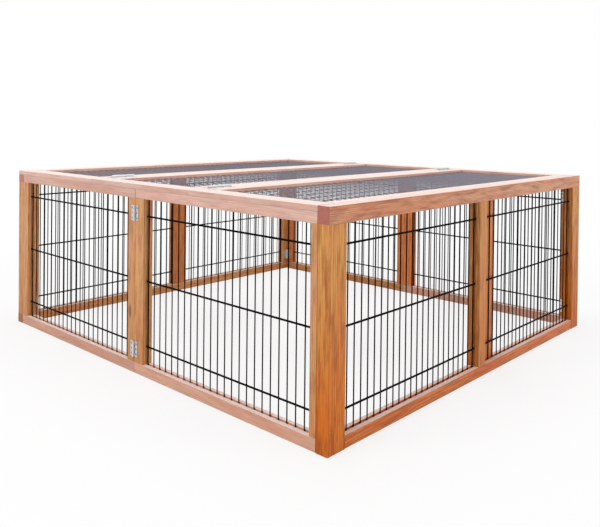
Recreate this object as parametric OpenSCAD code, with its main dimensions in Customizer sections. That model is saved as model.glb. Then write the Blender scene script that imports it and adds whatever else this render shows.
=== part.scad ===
// Outdoor rabbit run: wire walls in timber frames that fold flat on butt hinges,
// under a roof of three framed wire lids that lifts off.
// The ground is z = 0, the front wall is towards -Y and the run is centred on the Z axis.

/* [Overall size] */
// Width over the front wall
run_w = 1200; // [1000:10:1500]
// How much less the depth is than the width, so the folded seam hinges pass each other
fold_spare = 10; // [8:1:40]
// Height from the ground to the upper face of the timber
run_h = 455; // [400:5:600]

/* [Wall timber] */
// Thickness of the walls
wall_t = 28; // [26:1:34]
// Height of the front top rail
top_rail_h = 34; // [30:1:44]
// Height of the bottom rails
foot_rail_h = 26; // [20:1:34]
// Width of the corner stiles of the front and rear walls
corner_stile_w = 52; // [50:1:60]
// Width of the middle stile of the front wall
front_mid_w = 34; // [28:1:44]
// Width of the middle stile of the rear wall
rear_mid_w = 57; // [34:1:80]
// Distance from the middle of the wall to the left edge of its middle stile
mid_stile_left = 29; // [17:1:40]
// Width of the batten that backs the front mesh beside the middle stile
backing_w = 74; // [30:1:90]
// Width of the end stile of a front side panel
front_end_stile_w = 16; // [16:1:30]
// Width of the end stile of a rear side panel
rear_end_stile_w = 27; // [16:1:34]
// Width of the seam stile of a front side panel
front_seam_stile_w = 33; // [20:1:40]
// Width of the seam stile of a rear side panel
rear_seam_stile_w = 28; // [20:1:40]
// Gap between a side panel and the front or rear wall
timber_gap = 0.6; // [0.5:0.1:1]
// Gap between the two halves of a side at their seam
seam_gap = 0.6; // [0.4:0.1:1.2]

/* [Roof] */
// Thickness of the lid frames
lid_t = 12; // [10:1:14]
// Distance from the middle of the run to each split between two lids
lid_split = 193.5; // [170:0.5:220]
// Width of the lid rails that meet at a split
split_rail_w = 45; // [34:1:60]
// Width of the outer lid rails on the left, right and rear
border_rail_w = 54; // [40:1:64]
// Width of the front rail of the front lid
front_rail_w = 26; // [20:1:40]
// Gap between the lids and around them
lid_gap = 0.6; // [0.5:0.1:1.5]
// Gap under the lids, above the walls
lid_clear = 0.2; // [0.2:0.1:0.5]

/* [Wire mesh] */
// Diameter of the upright wires of a wall
upright_d = 2.7; // [1.8:0.1:3.2]
// Diameter of the crosswise wires of a wall
cross_d = 4.2; // [2.4:0.1:4.8]
// Distance between upright wires
upright_pitch = 22.2; // [18:0.2:30]
// Number of crosswise wires in a wall
cross_count = 3; // [2:1:4]
// Distance from a rail to the nearest crosswise wire
cross_margin = 42; // [30:1:60]
// Diameter of the roof wires
roof_wire_d = 2; // [1.4:0.1:2.4]
// Distance between the roof wires that run from front to rear
roof_pitch = 22; // [18:0.5:30]
// Distance between the roof wires that run from left to right
roof_cross_pitch = 52; // [40:1:80]
// How far crossing wires are sunk into each other at their welds
weld_sink = 0.2; // [0.1:0.05:0.3]
// Depth of the grooves that hold the wire ends
groove_depth = 5; // [4:0.5:6]
// Free room beside the mesh in its groove
groove_play = 0.4; // [0.3:0.1:0.6]

/* [Hinges] */
// Length of a wall hinge along its pin
hinge_l = 37; // [32:1:48]
// Height of the lower hinges above the ground
hinge_low = 40; // [34:1:60]
// Distance from the upper face of the timber down to the upper hinges
hinge_drop = 51; // [46:1:70]
// Outer radius of the knuckles
knuckle_r = 3; // [2.8:0.1:3.3]
// Radius of the pins
pin_r = 1.5; // [1.3:0.05:1.6]
// Radial running fit of the pins in their bores
pin_play = 0.06; // [0.04:0.01:0.1]
// Thickness of the leaves
leaf_t = 1.2; // [1:0.1:1.5]
// Distance between the knuckles and the timber
knuckle_clear = 0.35; // [0.3:0.05:0.5]
// Reach of a wall hinge's leaf from the pin
leaf_w = 13.4; // [12:0.2:16]
// Reach of the narrow leaf on an end stile
narrow_leaf_w = 12.4; // [11:0.2:12.4]
// Length of a lid hinge along its pin
lid_hinge_l = 70; // [50:1:90]
// Reach of a lid hinge's leaf from the pin
lid_leaf_w = 17; // [14:0.5:20]
// Distance from the side rails of a lid to its hinges
lid_hinge_in = 8; // [4:1:100]

/* [Hidden] */
$fn = 32;
run_d = run_w - fold_spare;
axis_off = knuckle_r + knuckle_clear;
low_top = run_h - lid_t - lid_clear;
low_rail_h = top_rail_h - lid_t;
under_top = run_h - top_rail_h;
under_low = low_top - low_rail_h;
mesh_t = upright_d + cross_d - weld_sink;
groove_w = mesh_t + 2 * groove_play;
groove_y = (wall_t - groove_w) / 2;
cross_y = groove_y + groove_play + cross_d / 2;
upright_y = groove_y + groove_w - groove_play - upright_d / 2;
edge_room = upright_d / 2 + 0.3;
front_mid_x = run_w / 2 - mid_stile_left;
side_l = run_d / 2 - wall_t - timber_gap - seam_gap / 2;
lid_z = run_h - lid_t;
rebate_w = 8;
rebate_h = 2 * roof_wire_d + 0.9;
roof_cross_z = lid_z + 0.3 + roof_wire_d / 2;
roof_long_z = roof_cross_z + roof_wire_d - weld_sink;
bay_x = run_w / 2 - border_rail_w;
knuckle_count = 5;
knuckle_play = 0.3;
hinge_heights = [hinge_low, run_h - hinge_drop - hinge_l];
// Front and rear limits of the three lids and the widths of their two long rails
front_lid = [wall_t - run_d / 2 + lid_gap, -lid_split - lid_gap / 2, front_rail_w, split_rail_w];
middle_lid = [-lid_split + lid_gap / 2, lid_split - lid_gap / 2, split_rail_w, split_rail_w];
rear_lid = [lid_split + lid_gap / 2, run_d / 2, split_rail_w, border_rail_w];

// ---- Places: a wall is drawn lying along +X with its outer face at y = 0 ----

module at_front() {
    translate([-run_w / 2, -run_d / 2, 0]) children();
}

module at_rear() {
    mirror([0, 1, 0]) at_front() children();
}

// The left front quarter, mirrored to the right or to the rear where asked
module at_quarter(right, rear) {
    mirror([right, 0, 0]) mirror([0, rear, 0]) children();
}

// A side panel starts at its corner end
module at_side(right, rear) {
    at_quarter(right, rear)
        translate([-run_w / 2, wall_t + timber_gap - run_d / 2, 0])
            mirror([1, -1, 0]) children();
}

// ---- Wall timber ----

module top_rail(l, top, h, bays) {
    difference() {
        translate([0, 0, top - h]) cube([l, wall_t, h]);
        for (bay = bays)
            translate([bay[0], groove_y, top - h - 1])
                cube([bay[1] - bay[0], groove_w, groove_depth + 1]);
    }
}

module bottom_rail(x0, x1, bays) {
    difference() {
        translate([x0, 0, 0]) cube([x1 - x0, wall_t, foot_rail_h]);
        for (bay = bays)
            translate([bay[0], groove_y, foot_rail_h - groove_depth])
                cube([bay[1] - bay[0], groove_w, groove_depth + 1]);
    }
}

// An upright with a groove for the crosswise wires on each side that meets a mesh
module stile(x0, w, z0, z1, groove_z, before, after) {
    difference() {
        translate([x0, 0, z0]) cube([w, wall_t, z1 - z0]);
        if (before)
            translate([x0 - 1, groove_y, groove_z])
                cube([groove_depth + 1, groove_w, z1 - groove_z]);
        if (after)
            translate([x0 + w - groove_depth, groove_y, groove_z])
                cube([groove_depth + 1, groove_w, z1 - groove_z]);
    }
}

// ---- Welded mesh: uprights end in the rails, crosswise wires end in the stiles ----

module wall_mesh(bay, top) {
    gaps = round((bay[1] - bay[0]) / upright_pitch);
    step = (bay[1] - bay[0] - 2 * edge_room) / gaps;
    for (i = [0 : gaps])
        translate([bay[0] + edge_room + i * step, upright_y, foot_rail_h - groove_depth])
            cylinder(d = upright_d, h = top - foot_rail_h + 2 * groove_depth);
    rise = (top - foot_rail_h - 2 * cross_margin) / (cross_count - 1);
    for (j = [0 : cross_count - 1])
        translate([bay[0] - groove_depth, cross_y, foot_rail_h + cross_margin + j * rise])
            rotate([0, 90, 0])
                cylinder(d = cross_d, h = bay[1] - bay[0] + 2 * groove_depth);
}

// ---- Hinges: the pin stands on the Z axis and the timber face is at y = -axis_off ----

// One leaf with its knuckles; the pinned leaf has the outer ones and carries the pin
module hinge_leaf(l, w, pinned) {
    own = pinned ? 0 : 1;
    knuckle_l = l / knuckle_count;
    difference() {
        union() {
            difference() {
                translate([0, -axis_off, 0]) cube([w, leaf_t, l]);
                for (i = [0 : knuckle_count - 1])
                    if (i % 2 != own)
                        translate([-1, -axis_off - 1, i * knuckle_l - knuckle_play / 2])
                            cube([knuckle_r + knuckle_clear + 1, leaf_t + 2,
                                  knuckle_l + knuckle_play]);
            }
            for (i = [0 : knuckle_count - 1])
                if (i % 2 == own)
                    translate([0, 0, i * knuckle_l + knuckle_play / 2])
                        cylinder(r = knuckle_r, h = knuckle_l - knuckle_play);
        }
        if (!pinned)
            translate([0, 0, -1]) cylinder(r = pin_r + pin_play, h = l + 2);
        for (k = [0 : 2])
            translate([w - (k == 1 ? 5 : 4), -axis_off - 1, l * (1 + 2 * k) / 6])
                rotate([-90, 0, 0]) cylinder(r = 1.9, h = leaf_t + 2);
    }
    if (pinned)
        translate([0, 0, -0.5]) cylinder(r = pin_r, h = l + 1);
}

module wall_hinges(w, pinned) {
    for (z = hinge_heights)
        translate([0, 0, z]) hinge_leaf(hinge_l, w, pinned);
}

// The leaves on the front or rear wall at a corner
module corner_leaves(right, rear) {
    at_quarter(right, rear)
        translate([wall_t + axis_off - run_w / 2, wall_t + axis_off - run_d / 2, 0])
            wall_hinges(leaf_w, true);
}

// The leaves on a side panel at a corner
module side_corner_leaves(right, rear) {
    at_quarter(right, rear)
        translate([wall_t + axis_off - run_w / 2, wall_t + axis_off - run_d / 2, 0])
            mirror([1, -1, 0]) wall_hinges(narrow_leaf_w, false);
}

// The leaves on a side panel at the seam, on its outer face
module side_seam_leaves(right, rear) {
    at_quarter(right, rear)
        translate([-axis_off - run_w / 2, 0, 0])
            mirror([1, 1, 0]) wall_hinges(leaf_w, rear == 0);
}

// The leaves on the upper face of a lid along a split, reaching to the rear of it
module split_leaves(y, pinned) {
    for (x = [lid_hinge_in - bay_x, bay_x - lid_hinge_in - lid_hinge_l])
        translate([x, y, run_h + axis_off])
            rotate([90, 0, 90]) hinge_leaf(lid_hinge_l, lid_leaf_w, pinned);
}

// ---- Lids ----

// Space under the inner edges of the lid rails where the mesh is let in
module lid_rebate(lid) {
    translate([-bay_x - rebate_w, lid[0] + lid[2] - rebate_w, lid_z - 1])
        cube([2 * (bay_x + rebate_w), lid[1] - lid[3] - lid[0] - lid[2] + 2 * rebate_w,
              rebate_h + 1]);
}

module long_rails(lid) {
    difference() {
        union() {
            translate([-bay_x, lid[0], lid_z]) cube([2 * bay_x, lid[2], lid_t]);
            translate([-bay_x, lid[1] - lid[3], lid_z]) cube([2 * bay_x, lid[3], lid_t]);
        }
        lid_rebate(lid);
    }
}

module side_rails(lid) {
    difference() {
        for (x = [-run_w / 2, bay_x])
            translate([x, lid[0], lid_z]) cube([border_rail_w, lid[1] - lid[0], lid_t]);
        lid_rebate(lid);
    }
}

module lid_mesh(lid) {
    y0 = lid[0] + lid[2];
    y1 = lid[1] - lid[3];
    room = roof_wire_d / 2 + 0.3;
    gaps = round(2 * bay_x / roof_pitch);
    step = 2 * (bay_x - room) / gaps;
    for (i = [0 : gaps])
        translate([room - bay_x + i * step, y0 - rebate_w, roof_long_z])
            rotate([-90, 0, 0])
                cylinder(d = roof_wire_d, h = y1 - y0 + 2 * rebate_w, $fn = 16);
    rows = round((y1 - y0) / roof_cross_pitch);
    for (j = [0 : rows - 1])
        translate([-bay_x - rebate_w, y0 + (y1 - y0) * (j + 0.5) / rows, roof_cross_z])
            rotate([0, 90, 0])
                cylinder(d = roof_wire_d, h = 2 * (bay_x + rebate_w), $fn = 16);
}

// ---- Front wall ----

front_bays = [[corner_stile_w, front_mid_x],
              [front_mid_x + front_mid_w, run_w - corner_stile_w]];

module front_top_rail() {
    color("#bd8470") at_front() top_rail(run_w, run_h, top_rail_h, front_bays);
}

module front_bottom_rail() {
    color("#bd8470") at_front()
        bottom_rail(corner_stile_w, run_w - corner_stile_w, front_bays);
}

module front_left_stile() {
    color("#c88c50") at_front()
        stile(0, corner_stile_w, 0, under_top, foot_rail_h, false, true);
}

module front_right_stile() {
    color("#c88c50") at_front()
        stile(run_w - corner_stile_w, corner_stile_w, 0, under_top, foot_rail_h, true, false);
}

module front_mid_stile() {
    color("#b4723c") at_front()
        stile(front_mid_x, front_mid_w, foot_rail_h, under_top, foot_rail_h, true, true);
}

module front_mesh_batten() {
    color("#8c5a34") at_front()
        translate([front_mid_x + front_mid_w, groove_y + groove_w, foot_rail_h])
            cube([backing_w, wall_t - groove_y - groove_w, under_top - foot_rail_h]);
}

module front_left_mesh() {
    color("#2c2f31") at_front() wall_mesh(front_bays[0], under_top);
}

module front_right_mesh() {
    color("#2c2f31") at_front() wall_mesh(front_bays[1], under_top);
}

module front_left_leaves() {
    color("#a8acae") corner_leaves(0, 0);
}

module front_right_leaves() {
    color("#a8acae") corner_leaves(1, 0);
}

// ---- Side panels: left and right, front and rear halves ----

front_side_bay = [front_end_stile_w, side_l - front_seam_stile_w];
rear_side_bay = [rear_end_stile_w, side_l - rear_seam_stile_w];

module side_top_rail(right, rear, bay) {
    color("#dcb2aa") at_side(right, rear) top_rail(side_l, low_top, low_rail_h, [bay]);
}

module side_bottom_rail(right, rear, bay) {
    color("#d6a08c") at_side(right, rear) bottom_rail(0, side_l, [bay]);
}

module side_end_stile(right, rear, w) {
    color("#c88c50") at_side(right, rear)
        stile(0, w, foot_rail_h, under_low, foot_rail_h, false, true);
}

module side_seam_stile(right, rear, w) {
    color("#c88c50") at_side(right, rear)
        stile(side_l - w, w, foot_rail_h, under_low, foot_rail_h, true, false);
}

module side_mesh(right, rear, bay) {
    color("#2c2f31") at_side(right, rear) wall_mesh(bay, under_low);
}

module left_front_top_rail() { side_top_rail(0, 0, front_side_bay); }
module left_front_bottom_rail() { side_bottom_rail(0, 0, front_side_bay); }
module left_front_end_stile() { side_end_stile(0, 0, front_end_stile_w); }
module left_front_seam_stile() { side_seam_stile(0, 0, front_seam_stile_w); }
module left_front_mesh() { side_mesh(0, 0, front_side_bay); }
module left_front_corner_leaves() { color("#a8acae") side_corner_leaves(0, 0); }
module left_front_seam_leaves() { color("#a8acae") side_seam_leaves(0, 0); }

module left_rear_top_rail() { side_top_rail(0, 1, rear_side_bay); }
module left_rear_bottom_rail() { side_bottom_rail(0, 1, rear_side_bay); }
module left_rear_end_stile() { side_end_stile(0, 1, rear_end_stile_w); }
module left_rear_seam_stile() { side_seam_stile(0, 1, rear_seam_stile_w); }
module left_rear_mesh() { side_mesh(0, 1, rear_side_bay); }
module left_rear_corner_leaves() { color("#a8acae") side_corner_leaves(0, 1); }
module left_rear_seam_leaves() { color("#a8acae") side_seam_leaves(0, 1); }

module right_front_top_rail() { side_top_rail(1, 0, front_side_bay); }
module right_front_bottom_rail() { side_bottom_rail(1, 0, front_side_bay); }
module right_front_end_stile() { side_end_stile(1, 0, front_end_stile_w); }
module right_front_seam_stile() { side_seam_stile(1, 0, front_seam_stile_w); }
module right_front_mesh() { side_mesh(1, 0, front_side_bay); }
module right_front_corner_leaves() { color("#a8acae") side_corner_leaves(1, 0); }
module right_front_seam_leaves() { color("#a8acae") side_seam_leaves(1, 0); }

module right_rear_top_rail() { side_top_rail(1, 1, rear_side_bay); }
module right_rear_bottom_rail() { side_bottom_rail(1, 1, rear_side_bay); }
module right_rear_end_stile() { side_end_stile(1, 1, rear_end_stile_w); }
module right_rear_seam_stile() { side_seam_stile(1, 1, rear_seam_stile_w); }
module right_rear_mesh() { side_mesh(1, 1, rear_side_bay); }
module right_rear_corner_leaves() { color("#a8acae") side_corner_leaves(1, 1); }
module right_rear_seam_leaves() { color("#a8acae") side_seam_leaves(1, 1); }

// ---- Rear wall ----

rear_bays = [[corner_stile_w, front_mid_x],
             [front_mid_x + rear_mid_w, run_w - corner_stile_w]];

module rear_top_rail() {
    color("#bd8470") at_rear() top_rail(run_w, low_top, low_rail_h, rear_bays);
}

module rear_bottom_rail() {
    color("#bd8470") at_rear() bottom_rail(0, run_w, rear_bays);
}

module rear_left_stile() {
    color("#c88c50") at_rear()
        stile(0, corner_stile_w, foot_rail_h, under_low, foot_rail_h, false, true);
}

module rear_right_stile() {
    color("#c88c50") at_rear()
        stile(run_w - corner_stile_w, corner_stile_w, foot_rail_h, under_low, foot_rail_h,
              true, false);
}

module rear_mid_stile() {
    color("#b4723c") at_rear()
        stile(front_mid_x, rear_mid_w, foot_rail_h, under_low, foot_rail_h, true, true);
}

module rear_left_mesh() {
    color("#2c2f31") at_rear() wall_mesh(rear_bays[0], under_low);
}

module rear_right_mesh() {
    color("#2c2f31") at_rear() wall_mesh(rear_bays[1], under_low);
}

module rear_left_leaves() {
    color("#a8acae") corner_leaves(0, 1);
}

module rear_right_leaves() {
    color("#a8acae") corner_leaves(1, 1);
}

// ---- Roof ----

module front_lid_long_rails() { color("#e8c8bc") long_rails(front_lid); }
module front_lid_side_rails() { color("#e8c8bc") side_rails(front_lid); }
module front_lid_mesh() { color("#747783") lid_mesh(front_lid); }
module front_lid_leaves() {
    color("#a8acae") mirror([0, 1, 0]) split_leaves(lid_split, false);
}

module middle_lid_long_rails() { color("#e8c8bc") long_rails(middle_lid); }
module middle_lid_side_rails() { color("#e8c8bc") side_rails(middle_lid); }
module middle_lid_mesh() { color("#747783") lid_mesh(middle_lid); }
module middle_lid_leaves() {
    color("#a8acae") split_leaves(-lid_split, true);
    color("#a8acae") mirror([0, 1, 0]) split_leaves(-lid_split, true);
}

module rear_lid_long_rails() { color("#e8c8bc") long_rails(rear_lid); }
module rear_lid_side_rails() { color("#e8c8bc") side_rails(rear_lid); }
module rear_lid_mesh() { color("#747783") lid_mesh(rear_lid); }
module rear_lid_leaves() {
    color("#a8acae") split_leaves(lid_split, false);
}

front_top_rail();
front_bottom_rail();
front_left_stile();
front_right_stile();
front_mid_stile();
front_mesh_batten();
front_left_mesh();
front_right_mesh();
front_left_leaves();
front_right_leaves();
left_front_top_rail();
left_front_bottom_rail();
left_front_end_stile();
left_front_seam_stile();
left_front_mesh();
left_front_corner_leaves();
left_front_seam_leaves();
left_rear_top_rail();
left_rear_bottom_rail();
left_rear_end_stile();
left_rear_seam_stile();
left_rear_mesh();
left_rear_corner_leaves();
left_rear_seam_leaves();
right_front_top_rail();
right_front_bottom_rail();
right_front_end_stile();
right_front_seam_stile();
right_front_mesh();
right_front_corner_leaves();
right_front_seam_leaves();
right_rear_top_rail();
right_rear_bottom_rail();
right_rear_end_stile();
right_rear_seam_stile();
right_rear_mesh();
right_rear_corner_leaves();
right_rear_seam_leaves();
rear_top_rail();
rear_bottom_rail();
rear_left_stile();
rear_right_stile();
rear_mid_stile();
rear_left_mesh();
rear_right_mesh();
rear_left_leaves();
rear_right_leaves();
front_lid_long_rails();
front_lid_side_rails();
front_lid_mesh();
front_lid_leaves();
middle_lid_long_rails();
middle_lid_side_rails();
middle_lid_mesh();
middle_lid_leaves();
rear_lid_long_rails();
rear_lid_side_rails();
rear_lid_mesh();
rear_lid_leaves();
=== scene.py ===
# %% [markdown]
# # Outdoor rabbit run
# The run is a square of four wire walls in timber frames, with a roof of three framed wire lids.
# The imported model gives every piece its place, size and motion. This lesson dresses it: it rounds
# the timber's edges, lays grain along every batten, coats the wires, and adds the screws and the
# staples, and then sets up the floor, the light and the camera.

# %% Load the frame
import math
import random

import bmesh
import bpy
from mathutils import Matrix, Vector


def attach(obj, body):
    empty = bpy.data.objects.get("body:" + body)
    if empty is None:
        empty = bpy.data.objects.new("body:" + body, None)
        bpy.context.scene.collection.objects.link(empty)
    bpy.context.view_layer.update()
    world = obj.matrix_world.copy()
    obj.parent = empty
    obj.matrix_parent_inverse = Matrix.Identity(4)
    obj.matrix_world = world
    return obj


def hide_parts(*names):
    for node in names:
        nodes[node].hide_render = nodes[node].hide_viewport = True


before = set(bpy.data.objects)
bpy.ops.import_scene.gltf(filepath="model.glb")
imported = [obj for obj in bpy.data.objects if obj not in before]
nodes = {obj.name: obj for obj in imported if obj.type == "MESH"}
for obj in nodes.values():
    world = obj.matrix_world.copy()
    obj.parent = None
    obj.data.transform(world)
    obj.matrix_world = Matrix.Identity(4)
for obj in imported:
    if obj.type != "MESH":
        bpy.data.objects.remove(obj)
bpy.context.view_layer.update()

# %% [markdown]
# The sizes that the dressing needs are the ones that the model was made with: the overall size,
# the wall thickness, the hinges and where their pins stand, and the widths of the lids' rails.
# They are written once, in metres.

# %% The run's own sizes
RUN_W, RUN_D, RUN_H = 1.200, 1.190, 0.455
WALL_T = 0.028
PIN_OFF = 0.00335
LEAF_T = 0.0012
HINGE_L, HINGE_LOW, HINGE_DROP = 0.037, 0.040, 0.051
HINGE_HEIGHTS = (HINGE_LOW, RUN_H - HINGE_DROP - HINGE_L)
LEAF_W, NARROW_LEAF_W = 0.0134, 0.0124
LID_T, LID_GAP, LID_SPLIT = 0.012, 0.0006, 0.1935
BORDER_RAIL_W, FRONT_RAIL_W, SPLIT_RAIL_W = 0.054, 0.026, 0.045
BAY_X = RUN_W / 2 - BORDER_RAIL_W
LID_HINGE_L, LID_HINGE_IN, LID_LEAF_W = 0.070, 0.008, 0.017
LID_HINGE_X = BAY_X - LID_HINGE_IN - LID_HINGE_L
rng = random.Random(31)
print("run", RUN_W, "by", RUN_D, "by", RUN_H, "m")

# %% [markdown]
# The camera stands where the photographer stood: off the left front corner, a little above the
# roof. Its place came from fitting the run's own edges. The lens axis is nearly level, and a
# vertical shift brings the run into the frame, so that upright timber stays upright.

# %% Camera
CAMERA_AT = Vector((-1.5789, -1.3764, 0.6043))
YAW, PITCH, ROLL = math.radians(45.07), math.radians(-0.64), math.radians(0.55)
PHOTO_W, PHOTO_H = 600, 527
FOCAL_PX, CENTRE_X, CENTRE_Y = 693.8, 253.8, 130.6
SENSOR_W = 36.0

forward = Vector((math.sin(YAW) * math.cos(PITCH), math.cos(YAW) * math.cos(PITCH),
                  math.sin(PITCH)))
level_right = Vector((math.cos(YAW), -math.sin(YAW), 0.0))
level_up = level_right.cross(forward)
right = level_right * math.cos(ROLL) + level_up * math.sin(ROLL)
up = level_up * math.cos(ROLL) - level_right * math.sin(ROLL)
camera_data = bpy.data.cameras.new("camera")
camera_data.sensor_width = SENSOR_W
camera_data.lens = FOCAL_PX / PHOTO_W * SENSOR_W
camera_data.shift_x = (PHOTO_W / 2 - CENTRE_X) / PHOTO_W
camera_data.shift_y = (CENTRE_Y - PHOTO_H / 2) / PHOTO_W
camera = bpy.data.objects.new("camera", camera_data)
turn = Matrix((right, up, -forward)).transposed().to_4x4()
camera.matrix_world = Matrix.Translation(CAMERA_AT) @ turn
bpy.context.scene.collection.objects.link(camera)
bpy.context.scene.camera = camera
print("lens", round(camera_data.lens, 2), "mm")

# %% [markdown]
# ## Colours and node helpers
# Paint is chosen as it looks on screen, in hexadecimal, and turned into the linear values that
# shaders work with. Small helpers keep each node tree readable: `add` makes a node and fills its
# sockets, and `mix` blends two colours.

# %% Node helpers
def paint(code):
    """A screen colour such as c88c50 as linear red, green, blue and alpha."""
    parts = [int(code[i:i + 2], 16) / 255 for i in (0, 2, 4)]
    linear = [p / 12.92 if p <= 0.04045 else ((p + 0.055) / 1.055) ** 2.4 for p in parts]
    return (*linear, 1.0)


def add(tree, kind, label="", **values):
    """A node of that kind; values are properties, or socket values where the name is a socket's."""
    node = tree.nodes.new(kind)
    node.label = label
    for name, value in values.items():
        if hasattr(node, name):
            setattr(node, name, value)
        else:
            node.inputs[name.replace("_", " ")].default_value = value
    return node


def maths(tree, operation, a, b=None, c=None, clamp=False):
    """A maths node on values or sockets; gives its output."""
    node = tree.nodes.new("ShaderNodeMath")
    node.operation = operation
    node.use_clamp = clamp
    for socket, value in zip(node.inputs, (a, b, c)):
        if value is None:
            continue
        if isinstance(value, (int, float)):
            socket.default_value = value
        else:
            tree.links.new(value, socket)
    return node.outputs[0]


def mix(tree, amount, a, b, blend="MIX"):
    """Blends colour a into colour b by an amount; each may be a colour or a socket."""
    node = tree.nodes.new("ShaderNodeMix")
    node.data_type = "RGBA"
    node.blend_type = blend
    for socket, value in ((node.inputs[0], amount), (node.inputs[6], a), (node.inputs[7], b)):
        if isinstance(value, (int, float, tuple)):
            socket.default_value = value
        else:
            tree.links.new(value, socket)
    return node.outputs[2]


def ramp(tree, value, low, high):
    """0 below low and 1 above high, with a smooth rise between."""
    node = add(tree, "ShaderNodeMapRange", interpolation_type="SMOOTHSTEP")
    node.inputs["From Min"].default_value = low
    node.inputs["From Max"].default_value = high
    tree.links.new(value, node.inputs["Value"])
    return node.outputs[0]


def stretched(tree, vector, x, y, z):
    """The vector with each axis multiplied."""
    node = tree.nodes.new("ShaderNodeVectorMath")
    node.operation = "MULTIPLY"
    node.inputs[1].default_value = (x, y, z)
    tree.links.new(vector, node.inputs[0])
    return node.outputs[0]


def noise(tree, vector, scale, detail=2.0, rough=0.5):
    """A noise texture's value."""
    node = add(tree, "ShaderNodeTexNoise", Scale=scale, Detail=detail, Roughness=rough)
    tree.links.new(vector, node.inputs["Vector"])
    return node.outputs[0]


def new_group(name, inputs, outputs):
    """An empty shader group with named inputs (kind, default) and outputs (kind)."""
    group = bpy.data.node_groups.new(name, "ShaderNodeTree")
    for label, (kind, value) in inputs.items():
        socket = group.interface.new_socket(label, in_out="INPUT", socket_type="NodeSocket" + kind)
        if value is not None:
            socket.default_value = value
    for label, kind in outputs.items():
        group.interface.new_socket(label, in_out="OUTPUT", socket_type="NodeSocket" + kind)
    return group, group.nodes.new("NodeGroupInput"), group.nodes.new("NodeGroupOutput")


print("helpers ready")

# %% [markdown]
# ## Timber grain
# Sawn fir shows the yearly rings of the tree as long lines, with darker late wood, fine fibres and
# a knot here and there. A flat wood picture would repeat and stretch at the ends. Here the group
# builds the rings in space, as distance from a heart line beside the batten, so that the ends of a
# batten show arcs and its sides show lines, as on a real one. Every batten brings its own place in
# the log as an attribute.

# %% Group: timber figure
def build_timber_figure():
    group, ins, outs = new_group(
        "timber_figure",
        {"Place": ("Vector", None), "Ring width": ("Float", 0.0032)},
        {"Rings": "Float", "Fibre": "Float", "Knot": "Float", "Blotch": "Float", "Tint": "Float",
         "Height": "Float"})
    place = ins.outputs["Place"]
    bend = maths(group, "SUBTRACT", noise(group, stretched(group, place, 1.6, 9, 9), 1.0), 0.5)
    split = group.nodes.new("ShaderNodeSeparateXYZ")
    group.links.new(place, split.inputs[0])
    across = maths(group, "ADD", split.outputs["Y"], maths(group, "MULTIPLY", bend, 0.018))
    deep = maths(group, "ADD", split.outputs["Z"], maths(group, "MULTIPLY", bend, 0.011))
    heart = maths(group, "SQRT", maths(group, "ADD", maths(group, "POWER", across, 2.0),
                                       maths(group, "POWER", deep, 2.0)))
    knots = add(group, "ShaderNodeTexVoronoi", Scale=1.0, Randomness=1.0)
    group.links.new(stretched(group, place, 4.2, 13, 13), knots.inputs["Vector"])
    near = knots.outputs["Distance"]
    chosen = group.nodes.new("ShaderNodeSeparateColor")
    group.links.new(knots.outputs["Color"], chosen.inputs[0])
    kept = ramp(group, chosen.outputs[0], 0.50, 0.52)
    core = maths(group, "SUBTRACT", 1.0, ramp(group, near, 0.05, 0.11))
    knot = maths(group, "MULTIPLY", core, kept)
    swirl = maths(group, "MULTIPLY", maths(group, "MULTIPLY", kept, 3.2),
                  maths(group, "EXPONENT", maths(group, "MULTIPLY", near, -9.0)))
    count = maths(group, "ADD", maths(group, "DIVIDE", heart, ins.outputs["Ring width"]), swirl)
    ring = maths(group, "POWER", maths(group, "FRACT", count), 2.2)
    softened = maths(group, "SUBTRACT", 1.0, ramp(group, ring, 0.86, 1.0))
    ring = maths(group, "MULTIPLY", ring, softened)
    fibre = noise(group, stretched(group, place, 14, 900, 900), 1.0, 3.0, 0.62)
    blotch = noise(group, stretched(group, place, 15, 120, 120), 1.0, 4.0, 0.62)
    tint = noise(group, stretched(group, place, 4.5, 42, 42), 1.0, 3.0, 0.55)
    height = maths(group, "ADD", maths(group, "MULTIPLY", ring, 0.35),
                   maths(group, "MULTIPLY", fibre, 0.65))
    for label, socket in (("Rings", ring), ("Fibre", fibre), ("Knot", knot), ("Blotch", blotch),
                          ("Tint", tint), ("Height", height)):
        group.links.new(socket, outs.inputs[label])
    return group


timber_figure = build_timber_figure()
print("group", timber_figure.name, "with", len(timber_figure.nodes), "nodes")

# %% [markdown]
# ## Wear along the edges
# Handling rubs the edges of timber, wire and hinges first. The group compares the surface's own
# direction with a rounded one: they differ only near an edge. A speckle breaks the line up, because
# wear is never even.

# %% Group: edge wear
def build_edge_wear():
    group, ins, outs = new_group(
        "edge_wear",
        {"Place": ("Vector", None), "Reach": ("Float", 0.002), "Speckle": ("Float", 160.0)},
        {"Edge": "Float"})
    rounded = add(group, "ShaderNodeBevel", samples=4)
    group.links.new(ins.outputs["Reach"], rounded.inputs["Radius"])
    plain = group.nodes.new("ShaderNodeNewGeometry")
    compare = group.nodes.new("ShaderNodeVectorMath")
    compare.operation = "DOT_PRODUCT"
    group.links.new(rounded.outputs[0], compare.inputs[0])
    group.links.new(plain.outputs["Normal"], compare.inputs[1])
    edge = maths(group, "SUBTRACT", 1.0, ramp(group, compare.outputs["Value"], 0.80, 0.995))
    speck = add(group, "ShaderNodeTexNoise", Detail=3.0)
    group.links.new(ins.outputs["Place"], speck.inputs["Vector"])
    group.links.new(ins.outputs["Speckle"], speck.inputs["Scale"])
    broken = ramp(group, speck.outputs[0], 0.36, 0.62)
    group.links.new(maths(group, "MULTIPLY", edge, broken), outs.inputs["Edge"])
    return group


edge_wear = build_edge_wear()
print("group", edge_wear.name)

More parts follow.
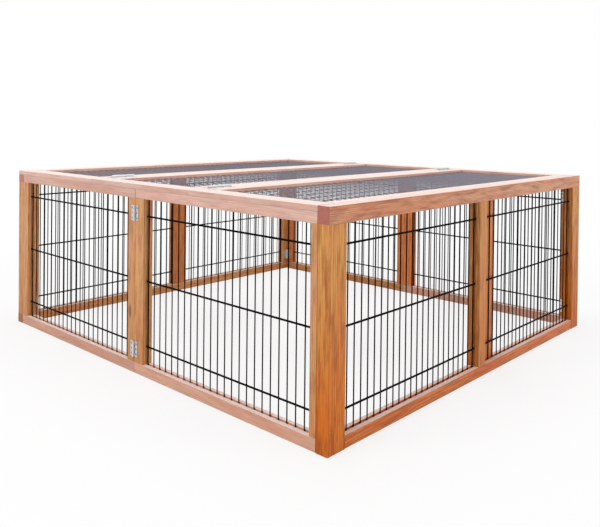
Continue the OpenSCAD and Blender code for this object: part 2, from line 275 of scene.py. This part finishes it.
# %% [markdown]
# ## Dust and painted top light
# A run stands on grass, so the lowest few centimetres catch splashes. The tops get painted light:
# upward faces are made paler, as if lit from above. The group gives a mask for each. Splashes come
# from height above the ground, broken by noise, and the painted top light from the way a face
# points.
# A third mask fades slowly over the whole height of a wall, and the lower parts are darker and
# deeper in colour.

# %% Group: dust and painted top light
def build_dust_and_top_light():
    group, ins, outs = new_group(
        "dust_and_top_light", {"Place": ("Vector", None), "Facing": ("Vector", None),
                    "Splash height": ("Float", 0.05)},
        {"Splash": "Float", "Grime": "Float", "Low": "Float", "Painted top light": "Float"})
    split = group.nodes.new("ShaderNodeSeparateXYZ")
    group.links.new(ins.outputs["Place"], split.inputs[0])
    patch = noise(group, ins.outputs["Place"], 38.0, 4.0, 0.6)
    low = maths(group, "SUBTRACT", 1.0, maths(group, "DIVIDE", split.outputs["Z"],
                                              ins.outputs["Splash height"]), clamp=True)
    splash = maths(group, "MULTIPLY", low, patch)
    grime = ramp(group, noise(group, ins.outputs["Place"], 11.0, 4.0, 0.55), 0.50, 0.78)
    # The Low mask: the colour grows darker towards the bottom, from 0.40 m down to 0.02 m above the
    # ground
    sink = maths(group, "SUBTRACT", 1.0, ramp(group, split.outputs["Z"], 0.02, 0.40))
    group.links.new(sink, outs.inputs["Low"])
    # Painted top light: this mask rises where a face points up, broken by the same noise as the
    # splashes
    tilt = group.nodes.new("ShaderNodeSeparateXYZ")
    group.links.new(ins.outputs["Facing"], tilt.inputs[0])
    upward = ramp(group, tilt.outputs["Z"], 0.45, 0.92)
    uneven = maths(group, "MULTIPLY_ADD", patch, 0.5, 0.72, clamp=True)
    group.links.new(maths(group, "MULTIPLY", upward, uneven), outs.inputs["Painted top light"])
    group.links.new(splash, outs.inputs["Splash"])
    group.links.new(grime, outs.inputs["Grime"])
    return group


dust_and_top_light = build_dust_and_top_light()
print("group", dust_and_top_light.name)

# %% [markdown]
# ## Timber materials
# The frame is one kind of timber in several tones: the stiles are golden, the rails pinkish, the
# posts in the middle redder, and the lids pale. One function builds each tone from the figure
# group. The end of a batten drinks more oil, so end grain is darker: each face carries a mark for
# it.

# %% Timber material
def use_group(tree, group, **values):
    """A shader group placed in a material, with values for its sockets."""
    node = tree.nodes.new("ShaderNodeGroup")
    node.node_tree = group
    for name, value in values.items():
        node.inputs[name.replace("_", " ")].default_value = value
    return node


def timber(name, early, late, warm, end, knot, low, ring_width=0.0032, strength=1.0,
           mottle=0.72, painted_top_light=0.80, coat=0.15):
    """A planed and oiled fir: early and late are the two tones of a year's growth, low is what
    the colour is multiplied by near the ground, and the numbers set how strong each effect is."""
    material = bpy.data.materials.new(name)
    material.use_nodes = True
    tree = material.node_tree
    shader = tree.nodes["Principled BSDF"]
    place = add(tree, "ShaderNodeAttribute", "place in the log", attribute_name="grain")
    ends = add(tree, "ShaderNodeAttribute", "end grain", attribute_name="end_grain")
    tone = add(tree, "ShaderNodeAttribute", "tone of this batten", attribute_name="tone")
    spot = add(tree, "ShaderNodeTexCoord")
    figure = use_group(tree, timber_figure, Ring_width=ring_width)
    tree.links.new(place.outputs["Vector"], figure.inputs["Place"])
    wear = use_group(tree, edge_wear, Reach=0.0018)
    dirt_and_top_light = use_group(tree, dust_and_top_light, Splash_height=0.04)
    for group in (wear, dirt_and_top_light):
        tree.links.new(spot.outputs["Object"], group.inputs["Place"])
    tree.links.new(spot.outputs["Normal"], dirt_and_top_light.inputs["Facing"])
    rings = maths(tree, "MULTIPLY", figure.outputs["Rings"], strength)
    colour = mix(tree, rings, paint(early), paint(late))
    warmth = ramp(tree, figure.outputs["Tint"], 0.38, 0.62)
    colour = mix(tree, maths(tree, "MULTIPLY", warmth, 0.65), colour, paint(warm))
    streak = ramp(tree, figure.outputs["Blotch"], 0.40, 0.70)
    colour = mix(tree, maths(tree, "MULTIPLY", streak, mottle), colour, paint(late))
    fibre = ramp(tree, figure.outputs["Fibre"], 0.34, 0.72)
    colour = mix(tree, maths(tree, "MULTIPLY", fibre, 0.24), colour, paint(knot))
    light = maths(tree, "MULTIPLY_ADD", tone.outputs["Fac"], 0.20, 0.92)
    grey = add(tree, "ShaderNodeCombineColor")
    for socket in grey.inputs[:3]:
        tree.links.new(light, socket)
    colour = mix(tree, 1.0, colour, grey.outputs[0], blend="MULTIPLY")
    colour = mix(tree, maths(tree, "MULTIPLY", ends.outputs["Fac"], 0.80), colour, paint(end))
    colour = mix(tree, maths(tree, "MULTIPLY", figure.outputs["Knot"], 0.72), colour, paint(knot))
    colour = mix(tree, dirt_and_top_light.outputs["Low"], colour, (*low, 1.0), blend="MULTIPLY")
    rubbed = maths(tree, "MULTIPLY", wear.outputs["Edge"], 0.22)
    colour = mix(tree, rubbed, colour, paint("ecd6c2"))
    soiled = maths(tree, "MULTIPLY", dirt_and_top_light.outputs["Splash"], 0.14)
    colour = mix(tree, soiled, colour, paint("8b7358"))
    # Painted top light: upward faces are blended towards a pale pink, standing in for the light
    # from above
    painted_top_lit = maths(tree, "MULTIPLY", dirt_and_top_light.outputs["Painted top light"], painted_top_light)
    colour = mix(tree, painted_top_lit, colour, paint("fae6df"))
    tree.links.new(colour, shader.inputs["Base Color"])
    rough = maths(tree, "MULTIPLY_ADD", figure.outputs["Fibre"], 0.20, 0.36)
    rough = maths(tree, "MULTIPLY_ADD", dirt_and_top_light.outputs["Grime"], 0.08, rough, clamp=True)
    tree.links.new(rough, shader.inputs["Roughness"])
    shader.inputs["Specular IOR Level"].default_value = 0.20
    shader.inputs["Coat Weight"].default_value = coat
    shader.inputs["Coat Roughness"].default_value = 0.22
    bump = add(tree, "ShaderNodeBump", Strength=0.30, Distance=0.0006)
    tree.links.new(figure.outputs["Height"], bump.inputs["Height"])
    tree.links.new(bump.outputs[0], shader.inputs["Normal"])
    return material


# Every tone gets painted top light on its upward faces; ROSE and PALE set their own amount of it
DEEP, MILD = (0.95, 0.52, 0.10), (0.94, 0.82, 0.70)
HONEY = timber("honey_fir", "e8b064", "9c5622", "d6864c", "a0643c", "6a3a20", DEEP, coat=0.0)
TAWNY = timber("tawny_fir", "e4ac62", "a25c2c", "d4854e", "a0643c", "6a3a20", (0.96, 0.70, 0.42))
GOLD = timber("golden_fir", "eaba7a", "b06e40", "de9872", "a0643c", "6a3a20", MILD)
ROSE = timber("rosy_fir", "e9c3b4", "cc9c8e", "e2a895", "b3705e", "8a5642", (0.97, 0.87, 0.76),
              ring_width=0.0036, strength=0.60, mottle=0.60, painted_top_light=0.98)
AMBER = timber("amber_fir", "f0b892", "a45a3e", "e08c62", "b0665c", "6f3f28", DEEP,
               ring_width=0.0030)
RUSSET = timber("russet_fir", "eb9c5e", "b25f2e", "da7f48", "94592f", "5a3018", MILD,
                ring_width=0.0028)
PALE = timber("pale_fir", "e8c3b2", "c79688", "e2ae9c", "b98470", "8a5a44", MILD,
              ring_width=0.0038, strength=0.55, mottle=0.60, painted_top_light=0.68, coat=0.6)
print("timber tones: 7")

# %% [markdown]
# ## Battens
# A batten is one length of timber, and its model is already true to size, with the milled grooves
# for the wires. What is missing is the soft arris that planing leaves. Bevelling in the modifier
# stack would also round the seams of the triangles, so the mesh is copied, its flat faces are
# merged, and only its outer edges are rounded. Each batten then gets its place in the log: a point
# of the surface, measured along and across the batten, moved by an amount of its own.

# %% Find a batten's lumps and long edges
ON_BOX = 1e-5
SHORTEST_EDGE = 0.002


def islands(bm):
    """The separate lumps of a mesh, each as a list of vertices, in the order of the vertices."""
    left = set(bm.verts)
    lumps = []
    for start in bm.verts:
        if start not in left:
            continue
        left.remove(start)
        lump, edge = [start], [start]
        while edge:
            for link in edge.pop().link_edges:
                for vert in link.verts:
                    if vert in left:
                        left.remove(vert)
                        lump.append(vert)
                        edge.append(vert)
        lumps.append(lump)
    return lumps


def box_edges(lump, along, ends):
    """Edges of a lump that lie on the long edges of its box, or on those round its sawn ends."""
    low = [min(v.co[i] for v in lump) for i in range(3)]
    high = [max(v.co[i] for v in lump) for i in range(3)]
    found = set()
    for vert in lump:
        for edge in vert.link_edges:
            middle = (edge.verts[0].co + edge.verts[1].co) / 2
            sides = sum(min(abs(middle[i] - low[i]), abs(middle[i] - high[i])) < ON_BOX
                        for i in range(3))
            run = edge.verts[0].co - edge.verts[1].co
            lengthwise = abs(run[along]) > 0.99 * run.length
            if sides == 2 and run.length > SHORTEST_EDGE and lengthwise != ends:
                found.add(edge)
    return found


print("edge finders ready")

# %% Make a batten from its node
def batten(node_name, body, along, material, arris=0.0014, end_arris=0.0):
    """Rounds the arrises of a timber node and lays the grain along the axis 0, 1 or 2."""
    bm = bmesh.new()
    bm.from_mesh(nodes[node_name].data)
    bmesh.ops.remove_doubles(bm, verts=bm.verts, dist=1e-6)
    bmesh.ops.dissolve_limit(bm, angle_limit=math.radians(1), verts=bm.verts, edges=bm.edges)
    across = [(along + 1) % 3, (along + 2) % 3]
    tone_layer = bm.verts.layers.float.new("tone")
    grain_layer = bm.verts.layers.float_vector.new("grain")
    for lump in islands(bm):
        middle = [(min(v.co[i] for v in lump) + max(v.co[i] for v in lump)) / 2 for i in range(3)]
        move = (rng.uniform(-20, 20), rng.uniform(0.02, 0.055) * rng.choice((-1, 1)),
                rng.uniform(0.015, 0.05) * rng.choice((-1, 1)))
        shade = rng.random()
        for vert in lump:
            vert[tone_layer] = shade
            vert[grain_layer] = Vector((vert.co[along] + move[0],
                                        vert.co[across[0]] - middle[across[0]] + move[1],
                                        vert.co[across[1]] - middle[across[1]] + move[2]))
    for size, ends in ((end_arris, True), (arris, False)):
        edges = set()
        for lump in islands(bm):
            edges |= box_edges(lump, along, ends)
        if size:
            bmesh.ops.bevel(bm, geom=list(edges), offset=size, segments=3, profile=0.5,
                            affect="EDGES", clamp_overlap=True)
    mesh = bpy.data.meshes.new(node_name + "_planed")
    for face in bm.faces:
        face.smooth = max(abs(face.normal[i]) for i in range(3)) < 0.999
    bm.to_mesh(mesh)
    bm.free()
    marks = mesh.attributes.new("end_grain", "FLOAT", "FACE")
    for face in mesh.polygons:
        marks.data[face.index].value = 1.0 if abs(face.normal[along]) > 0.8 else 0.0
    mesh.materials.append(material)
    piece = bpy.data.objects.new(node_name + "_planed", mesh)
    bpy.context.scene.collection.objects.link(piece)
    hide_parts(node_name)
    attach(piece, body)
    return piece


print("batten maker ready")

# %% [markdown]
# ## The walls' timber
# The front wall's rails are a warmer brown than the other walls' rosy rails. Its stiles are honey
# coloured and the others golden. The rear middle post and the right wall's posts are redder.
# Two rails on the ground at the far corner are golden too.

# %% Dress the wall timber
planed = []
for end, rail, foot, stile, post in (("front", AMBER, AMBER, HONEY, TAWNY),
                                     ("rear", ROSE, GOLD, GOLD, RUSSET)):
    body = end + "_wall"
    planed.append(batten(f"{end}_top_rail", body, 0, rail))
    planed.append(batten(f"{end}_bottom_rail", body, 0, foot))
    for name in ("left_stile", "right_stile"):
        planed.append(batten(f"{end}_{name}", body, 2, stile))
    planed.append(batten(f"{end}_mid_stile", body, 2, post))
planed.append(batten("front_mesh_batten", "front_wall", 2, RUSSET, 0.0010))
for side in ("left", "right"):
    for end in ("front", "rear"):
        body = f"{side}_{end}_panel"
        planed.append(batten(f"{side}_{end}_top_rail", body, 1, ROSE,
                             end_arris=0.0016))
        foot = GOLD if (side, end) == ("right", "rear") else ROSE
        planed.append(batten(f"{side}_{end}_bottom_rail", body, 1, foot))
        for name in ("end_stile", "seam_stile"):
            post = GOLD if side == "left" else RUSSET
            planed.append(batten(f"{side}_{end}_{name}", body, 2, post))
print("battens in the walls:", len(planed))

# %% Dress the lid timber
for lid, body in (("front", "front_lid"), ("middle", "roof"), ("rear", "rear_lid")):
    planed.append(batten(f"{lid}_lid_long_rails", body, 0, PALE, 0.0012))
    planed.append(batten(f"{lid}_lid_side_rails", body, 1, PALE, 0.0012))
print("battens in all:", len(planed))

# %% [markdown]
# ## Wire
# The mesh of the walls is welded steel wire with a black coat, a little uneven and thinner where it
# rubs, the same on all four walls. The roof's mesh has a blue grey coat that weathers paler. The
# wires are round in the model already, so they only need their coat.

# %% Wire coats
def coated_wire(name, coat, pale, bare, roughness, metal, shine):
    """Coated steel wire with a slightly uneven skin, rubbed through in places."""
    material = bpy.data.materials.new(name)
    material.use_nodes = True
    tree = material.node_tree
    shader = tree.nodes["Principled BSDF"]
    spot = add(tree, "ShaderNodeTexCoord")
    skin = noise(tree, spot.outputs["Object"], 210.0, 3.0, 0.6)
    rub = ramp(tree, noise(tree, spot.outputs["Object"], 34.0, 5.0, 0.7), 0.60, 0.74)
    dirt_and_top_light = use_group(tree, dust_and_top_light, Splash_height=0.08)
    tree.links.new(spot.outputs["Object"], dirt_and_top_light.inputs["Place"])
    colour = mix(tree, skin, paint(coat), paint(pale))
    colour = mix(tree, maths(tree, "MULTIPLY", rub, 0.35), colour, paint(bare))
    soiled = maths(tree, "MULTIPLY", dirt_and_top_light.outputs["Splash"], 0.25)
    colour = mix(tree, soiled, colour, paint("6d5c46"))
    tree.links.new(colour, shader.inputs["Base Color"])
    tree.links.new(maths(tree, "MULTIPLY_ADD", skin, 0.25, roughness), shader.inputs["Roughness"])
    tree.links.new(maths(tree, "MULTIPLY_ADD", rub, 0.3, metal), shader.inputs["Metallic"])
    shader.inputs["Specular IOR Level"].default_value = shine
    bump = add(tree, "ShaderNodeBump", Strength=0.3, Distance=0.0002)
    tree.links.new(skin, bump.inputs["Height"])
    tree.links.new(bump.outputs[0], shader.inputs["Normal"])
    return material


WALL_WIRE = coated_wire("wall_wire_coat", "040505", "0b0c0d", "1a1c1d", 0.55, 0.0, 0.04)
ROOF_WIRE = coated_wire("roof_wire_coat", "6a6672", "908c98", "b7b3bb", 0.26, 0.40, 0.5)
print("wire coats: 2")

# %% Coat the meshes
def finish(node_name, material):
    """Gives a node's object its material and keeps its shape."""
    mesh = nodes[node_name].data
    mesh.materials.clear()
    mesh.materials.append(material)


wall_meshes = [name for name in nodes if name.endswith("_mesh") and "lid" not in name]
roof_meshes = [name for name in nodes if name.endswith("lid_mesh")]
for name in wall_meshes:
    finish(name, WALL_WIRE)
for name in roof_meshes:
    finish(name, ROOF_WIRE)
print("wall meshes", len(wall_meshes), "roof meshes", len(roof_meshes))
print("triangles of one wall mesh", len(nodes[wall_meshes[0]].data.polygons),
      "and of one lid mesh", len(nodes[roof_meshes[0]].data.polygons))

# %% [markdown]
# ## Hinges
# The hinges are pressed steel, plated with zinc. The plate shows faint spangles, dulls in patches
# in the open, and stays brighter along the edges, where it is rubbed. The screws and the staples
# are of a darker steel, made by the same function.

# %% Zinc
def zinc_plate(name, plate, dull):
    """Plated steel: plate is its bright tone and dull the tone of the dulled patches."""
    material = bpy.data.materials.new(name)
    material.use_nodes = True
    tree = material.node_tree
    shader = tree.nodes["Principled BSDF"]
    spot = add(tree, "ShaderNodeTexCoord")
    spangle = add(tree, "ShaderNodeTexVoronoi", Scale=420.0)
    tree.links.new(spot.outputs["Object"], spangle.inputs["Vector"])
    grey = add(tree, "ShaderNodeSeparateColor")
    tree.links.new(spangle.outputs["Color"], grey.inputs[0])
    cloud = noise(tree, spot.outputs["Object"], 70.0, 4.0, 0.6)
    wear = use_group(tree, edge_wear, Reach=0.0006, Speckle=500.0)
    tree.links.new(spot.outputs["Object"], wear.inputs["Place"])
    colour = mix(tree, cloud, paint(plate), paint(dull))
    colour = mix(tree, maths(tree, "MULTIPLY", grey.outputs[0], 0.18), colour, paint("dfe3e6"))
    colour = mix(tree, maths(tree, "MULTIPLY", wear.outputs["Edge"], 0.5), colour, paint("e6e8ea"))
    tree.links.new(colour, shader.inputs["Base Color"])
    shader.inputs["Metallic"].default_value = 0.85
    tree.links.new(maths(tree, "MULTIPLY_ADD", cloud, 0.28, 0.30), shader.inputs["Roughness"])
    bump = add(tree, "ShaderNodeBump", Strength=0.25, Distance=0.0002)
    tree.links.new(cloud, bump.inputs["Height"])
    tree.links.new(bump.outputs[0], shader.inputs["Normal"])
    return material


ZINC = zinc_plate("zinc_plate", "e6e5e8", "bfc1c2")
SCREW_STEEL = zinc_plate("screw_steel", "a7a49a", "6f6d68")
for name in nodes:
    if name.endswith("leaves"):
        finish(name, ZINC)
print("hinge leaves in zinc")

# %% [markdown]
# ## Screws
# Each leaf is held by three countersunk screws. The head is a shallow dome with a cross recess. It
# is turned as rings of points, and the four arms of the recess are pressed down into the dome, so
# that it catches the light from every side. All the screws of a body are one mesh.

# %% A screw head
HEAD_R, HEAD_RISE, HEAD_SEAT = 0.0027, 0.0009, 0.0004
HEAD_POINTS = 16
RECESS_REACH, RECESS_SINK = 0.7, 0.75
# Share of the radius and share of the rise of each ring, from the seat inwards
HEAD_RINGS = ((1.0, -HEAD_SEAT / HEAD_RISE), (1.0, 0.15), (0.86, 0.62), (0.60, 0.90), (0.34, 1.0))


def join_rings(bm, rings):
    """Faces between each ring of points and the next."""
    count = len(rings[0])
    for low, high in zip(rings, rings[1:]):
        for i in range(count):
            j = (i + 1) % count
            bm.faces.new((low[i], low[j], high[j], high[i]))


def screw_head(bm, at, normal, first):
    """A domed head with a cross recess, at a point on a leaf, turned by its first direction."""
    second = normal.cross(first)
    rings = []
    for share, height in HEAD_RINGS:
        ring = []
        for i in range(HEAD_POINTS):
            angle = 2 * math.pi * i / HEAD_POINTS
            arm = abs(math.cos(2 * angle)) ** 6
            sink = RECESS_SINK * arm * (share < RECESS_REACH)
            out = first * math.cos(angle) + second * math.sin(angle)
            ring.append(bm.verts.new(at + out * HEAD_R * share
                                     + normal * (height - sink) * HEAD_RISE))
        rings.append(ring)
    centre = bm.verts.new(at + normal * HEAD_RISE * 0.15)
    join_rings(bm, rings)
    for i in range(HEAD_POINTS):
        bm.faces.new((rings[-1][i], rings[-1][(i + 1) % HEAD_POINTS], centre))
    bm.faces.new(list(reversed(rings[0])))


print("screw head ready")

# %% [markdown]
# The holes of a leaf stand in a shallow V: two near its free edge and one further in. A leaf is
# given by its pin's foot, the way it reaches, and the way it faces. The left front quarter is
# written out, and mirroring gives the others.

# %% The screws of one leaf
HOLES_IN = (0.004, 0.005, 0.004)


def leaf_screws(bm, foot, reach, facing, pin, width, length):
    """Three screws in a leaf: foot is the pin's lower end, then come directions and sizes."""
    for k, hole_in in enumerate(HOLES_IN):
        out = width - hole_in
        up_pin = length * (1 + 2 * k) / 6
        at = foot + reach * out + pin * up_pin + facing * (LEAF_T - PIN_OFF)
        angle = rng.uniform(0, math.pi)
        first = (reach * math.cos(angle) + pin * math.sin(angle)).normalized()
        screw_head(bm, at, facing, first)


print("holes in a leaf:", len(HOLES_IN))

# %% Where the leaves are
X, Y, Z = Vector((1, 0, 0)), Vector((0, 1, 0)), Vector((0, 0, 1))
CORNER = Vector((WALL_T + PIN_OFF - RUN_W / 2, WALL_T + PIN_OFF - RUN_D / 2, 0))
SEAM = Vector((-PIN_OFF - RUN_W / 2, 0, 0))
leaves = []
for mirror_x, side in ((1, "left"), (-1, "right")):
    for mirror_y, end in ((1, "front"), (-1, "rear")):
        flip = Matrix.Diagonal((mirror_x, mirror_y, 1))
        for height in HINGE_HEIGHTS:
            level = Z * height
            foot = flip @ CORNER + level
            panel = f"{side}_{end}_panel"
            leaves.append((f"{end}_wall", foot, flip @ X, flip @ Y, Z, LEAF_W, HINGE_L))
            leaves.append((panel, foot, flip @ Y, flip @ X, Z, NARROW_LEAF_W, HINGE_L))
            leaves.append((panel, flip @ SEAM + level, flip @ -Y, flip @ -X, Z, LEAF_W, HINGE_L))
for split, outer in ((-LID_SPLIT, "front_lid"), (LID_SPLIT, "rear_lid")):
    away = Y if split > 0 else -Y
    for x in (-LID_HINGE_X - LID_HINGE_L, LID_HINGE_X):
        foot = Vector((x, split, RUN_H + PIN_OFF))
        leaves.append((outer, foot, away, Z, X, LID_LEAF_W, LID_HINGE_L))
        leaves.append(("roof", foot, -away, Z, X, LID_LEAF_W, LID_HINGE_L))

print("leaves:", len(leaves))

# %% Place the screws
def add_fixings(bm, body, kind):
    """Turns the small steel fixings of a body into one mesh that rides on it."""
    bmesh.ops.recalc_face_normals(bm, faces=bm.faces)
    mesh = bpy.data.meshes.new(f"{body}_{kind}")
    bm.to_mesh(mesh)
    bm.free()
    for face in mesh.polygons:
        face.use_smooth = True
    mesh.materials.append(SCREW_STEEL)
    piece = bpy.data.objects.new(f"{body}_{kind}", mesh)
    bpy.context.scene.collection.objects.link(piece)
    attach(piece, body)


screws_of = {body: bmesh.new() for body in dict.fromkeys(leaf[0] for leaf in leaves)}
for body, *leaf in leaves:
    leaf_screws(screws_of[body], *leaf)
for body, bm in screws_of.items():
    add_fixings(bm, body, "screws")
print("screws:", len(HOLES_IN) * len(leaves), "in", len(screws_of), "meshes")

# %% [markdown]
# ## Staples
# Under the lids the mesh lies in a shallow rebate, and staples hold it there. Each is a short wire
# bent over one of the mesh's wires, with both legs in the timber. They stand only on the upper
# layer of wires, where they stay inside the rebate and clear the walls that fold below. A staple is
# a tube round a bent path: at each point of the path a ring of points is laid, and the rings are
# joined. The wires are spaced evenly between the rails, so a few values give every place.

# %% One staple
WIRE_R, WELD_SINK, WIRE_ROOM = 0.001, 0.0002, 0.0003
REBATE_H, REBATE_W = 0.0049, 0.008
STAPLE_R, STAPLE_PLAY, STAPLE_BEND = 0.0006, 0.0002, 0.0007
STAPLE_BITE = 0.0008
STAPLE_POINTS = 8


def staple(bm, at, across, along):
    """A staple under a wire: at is on the wire's axis, across and along are level directions."""
    reach = WIRE_R + STAPLE_R + STAPLE_PLAY
    crown = -WIRE_R - STAPLE_R
    top = RUN_H - LID_T + REBATE_H + STAPLE_BITE - at.z
    half = [(reach, top), (reach, crown + STAPLE_BEND), (reach - STAPLE_BEND, crown)]
    path = half + [(-u, v) for u, v in reversed(half)]
    turns = [2 * math.pi * k / STAPLE_POINTS for k in range(STAPLE_POINTS)]
    rings = []
    for i, (u, v) in enumerate(path):
        before, after = path[max(i - 1, 0)], path[min(i + 1, len(path) - 1)]
        way = (across * (after[0] - before[0]) + Z * (after[1] - before[1])).normalized()
        side = way.cross(along)
        spot = at + across * u + Z * v
        rings.append([bm.verts.new(spot + (side * math.cos(turn) + along * math.sin(turn))
                                   * STAPLE_R) for turn in turns])
    join_rings(bm, rings)
    bm.faces.new(rings[0])
    bm.faces.new(list(reversed(rings[-1])))


print("staple ready")

# %% Staple the lid meshes
LONG_WIRES, FIRST_STAPLED, EVERY = 51, 2, 5
LONG_WIRE_Z = RUN_H - LID_T + WIRE_ROOM + 3 * WIRE_R - WELD_SINK
FIRST_WIRE_X = WIRE_R + WIRE_ROOM - BAY_X
WIRE_STEP = -2 * FIRST_WIRE_X / (LONG_WIRES - 1)
outer_bay = LID_SPLIT + LID_GAP / 2 + SPLIT_RAIL_W
middle_bay = LID_SPLIT - LID_GAP / 2 - SPLIT_RAIL_W
front_edge = WALL_T - RUN_D / 2 + LID_GAP + FRONT_RAIL_W
lid_bays = {"front_lid": (front_edge, -outer_bay), "roof": (-middle_bay, middle_bay),
            "rear_lid": (outer_bay, RUN_D / 2 - BORDER_RAIL_W)}
stapled = range(FIRST_STAPLED, LONG_WIRES, EVERY)
for body, (near, far) in lid_bays.items():
    bm = bmesh.new()
    for i in stapled:
        for y in (near - REBATE_W / 2, far + REBATE_W / 2):
            staple(bm, Vector((FIRST_WIRE_X + i * WIRE_STEP, y, LONG_WIRE_Z)), X, Y)
    add_fixings(bm, body, "staples")
    print(body, "staples:", 2 * len(stapled))

# %% [markdown]
# ## Floor and background
# The floor is one large pale sheet that takes the run's shadow. Away from the run it turns white,
# and so is the world behind it, so that no horizon shows. The object itself is lit by the world's
# softer grey and by the lamps.

# %% What the eye sees
def seen(tree):
    """1 for what the camera sees, directly, in a reflection or through glass, and otherwise 0."""
    path = tree.nodes.new("ShaderNodeLightPath")
    mirrored = maths(tree, "MAXIMUM", path.outputs["Is Glossy Ray"],
                     path.outputs["Is Transmission Ray"])
    return maths(tree, "MAXIMUM", path.outputs["Is Camera Ray"], mirrored)


print("light path helper ready")

# %% Floor
FLOOR_HALF, FLOOR_DROP = 9, 0.0005
FLOOR_GREY = 0.93
WHITE_FROM, WHITE_AT, WHITE_LEAST = 0.7, 2.0, 0.78
floor_mesh = bpy.data.meshes.new("floor")
floor_mesh.from_pydata([(x * FLOOR_HALF, y * FLOOR_HALF, 0)
                        for x, y in ((-1, -1), (1, -1), (1, 1), (-1, 1))], [], [(0, 1, 2, 3)])
floor = bpy.data.objects.new("floor", floor_mesh)
floor.location.z = -FLOOR_DROP
bpy.context.scene.collection.objects.link(floor)
floor_material = bpy.data.materials.new("floor_paper")
floor_material.use_nodes = True
tree = floor_material.node_tree
shader = tree.nodes["Principled BSDF"]
shader.inputs["Base Color"].default_value = (FLOOR_GREY, FLOOR_GREY, FLOOR_GREY, 1)
shader.inputs["Roughness"].default_value = 0.9
shader.inputs["Specular IOR Level"].default_value = 0.1
floor_spot = add(tree, "ShaderNodeTexCoord")
from_run = tree.nodes.new("ShaderNodeVectorMath")
from_run.operation = "LENGTH"
tree.links.new(floor_spot.outputs["Object"], from_run.inputs[0])
away = ramp(tree, from_run.outputs["Value"], WHITE_FROM, WHITE_AT)
away = maths(tree, "MULTIPLY_ADD", away, 1 - WHITE_LEAST, WHITE_LEAST, clamp=True)
paper_white = add(tree, "ShaderNodeEmission", Color=(1, 1, 1, 1), Strength=1.0)
floor_join = tree.nodes.new("ShaderNodeMixShader")
tree.links.new(maths(tree, "MULTIPLY", seen(tree), away), floor_join.inputs[0])
tree.links.new(shader.outputs[0], floor_join.inputs[1])
tree.links.new(paper_white.outputs[0], floor_join.inputs[2])
tree.links.new(floor_join.outputs[0], tree.nodes["Material Output"].inputs[0])
floor_mesh.materials.append(floor_material)
print("floor ready")

# %% World
world = bpy.data.worlds.new("studio")
bpy.context.scene.world = world
world.use_nodes = True
tree = world.node_tree
tree.nodes.clear()
soft = add(tree, "ShaderNodeBackground", Color=(1, 0.99, 0.97, 1), Strength=0.50)
white = add(tree, "ShaderNodeBackground", Color=(1, 1, 1, 1), Strength=1.0)
join = tree.nodes.new("ShaderNodeMixShader")
tree.links.new(seen(tree), join.inputs[0])
tree.links.new(soft.outputs[0], join.inputs[1])
tree.links.new(white.outputs[0], join.inputs[2])
tree.links.new(join.outputs[0], tree.nodes.new("ShaderNodeOutputWorld").inputs[0])
print("world ready")

# %% [markdown]
# ## Light
# The photo is lit from above and from the left: the tops are palest, the left face is light and
# the front face is a tone darker. Three broad lamps do this: a key high on the left, one overhead
# and a weak fill from the front.

# %% Lamps
AIM = (0, 0, 0.2)


def lamp(name, at, size, power, tint=(1, 1, 1)):
    """A round soft lamp aimed at the middle of the run."""
    data = bpy.data.lights.new(name, "AREA")
    data.shape = "DISK"
    data.size = size
    data.energy = power
    data.color = tint
    thing = bpy.data.objects.new(name, data)
    thing.location = at
    thing.rotation_euler = (Vector(AIM) - Vector(at)).to_track_quat("-Z", "Y").to_euler()
    bpy.context.scene.collection.objects.link(thing)


lamp("key", (-3.6, 0.4, 3.6), 2.2, 70, (1.0, 0.99, 0.97))
lamp("top", (0.3, 0.2, 4.2), 3.0, 55)
lamp("front_fill", (1.2, -4.2, 1.6), 2.4, 40, (1.0, 0.98, 0.96))
bpy.context.scene.view_settings.view_transform = "Standard"
print("lamps: 3")
